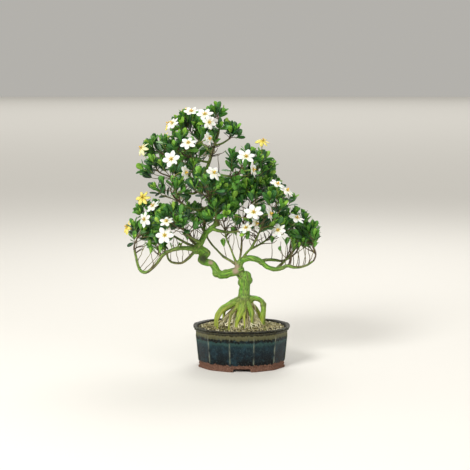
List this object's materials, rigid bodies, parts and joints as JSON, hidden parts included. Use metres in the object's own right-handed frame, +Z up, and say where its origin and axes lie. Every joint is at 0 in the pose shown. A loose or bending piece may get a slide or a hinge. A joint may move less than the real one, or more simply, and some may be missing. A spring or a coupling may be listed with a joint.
{
  "type": "gardenia bonsai",
  "caption": "Gardenia bonsai with exposed roots, bent mossy limbs, glossy leafy sprays and open white flowers, planted in an oval glazed pot on a notched foot.",
  "frame": {"origin": "bottom centre of the whole object's bounding box, on the surface that the pot's foot stands on", "axes": "+Z up along the tree's height, the longest extent; +Y from the front of the pot to its back, the shortest extent; +X to the right of someone who looks at the front"},
  "size_m": [0.4223, 0.2584, 0.5531],
  "materials": {
    "pot_glaze": "gloss",
    "soil": "matte",
    "drain_mesh": "matte",
    "bark": "matte",
    "leaf": "gloss",
    "petal_white": "matte",
    "petal_cream": "matte"
  },
  "bodies": {
    "root": {"pot": "pot_glaze", "soil": "soil", "drain_mesh_left": "drain_mesh", "drain_mesh_right": "drain_mesh", "trunk": "bark", "bloom_white_01": "petal_white", "bloom_white_02": "petal_white", "bloom_white_03": "petal_white", "bloom_white_04": "petal_white", "bloom_white_05": "petal_white", "bloom_white_06": "petal_white", "bloom_white_07": "petal_white", "bloom_white_08": "petal_white", "bloom_white_09": "petal_white", "bloom_white_10": "petal_white", "bloom_white_11": "petal_white", "bloom_white_12": "petal_white", "bloom_white_13": "petal_white", "bloom_pair_01": "petal_white", "bloom_pair_02": "petal_white", "bloom_pair_03": "petal_white", "bloom_pair_04": "petal_white", "bloom_pair_05": "petal_white", "bloom_cream_01": "petal_cream", "bloom_cream_02": "petal_cream", "bloom_cream_03": "petal_cream", "bloom_cream_04": "petal_cream", "bloom_cream_05": "petal_cream", "bloom_cream_06": "petal_cream", "bloom_back_01": "petal_white", "bloom_back_02": "petal_white", "bloom_back_03": "petal_white", "spray_01": "leaf", "spray_02": "leaf", "spray_03": "leaf", "spray_04": "leaf", "spray_05": "leaf", "spray_06": "leaf", "spray_07": "leaf", "spray_08": "leaf", "spray_09": "leaf", "spray_10": "leaf", "spray_11": "leaf", "spray_12": "leaf", "spray_13": "leaf", "spray_14": "leaf", "spray_15": "leaf", "spray_16": "leaf", "spray_17": "leaf", "spray_18": "leaf", "spray_19": "leaf", "spray_20": "leaf", "spray_21": "leaf", "spray_22": "leaf", "spray_23": "leaf", "spray_24": "leaf", "spray_25": "leaf", "spray_26": "leaf", "spray_27": "leaf"}
  },
  "joints": []
}
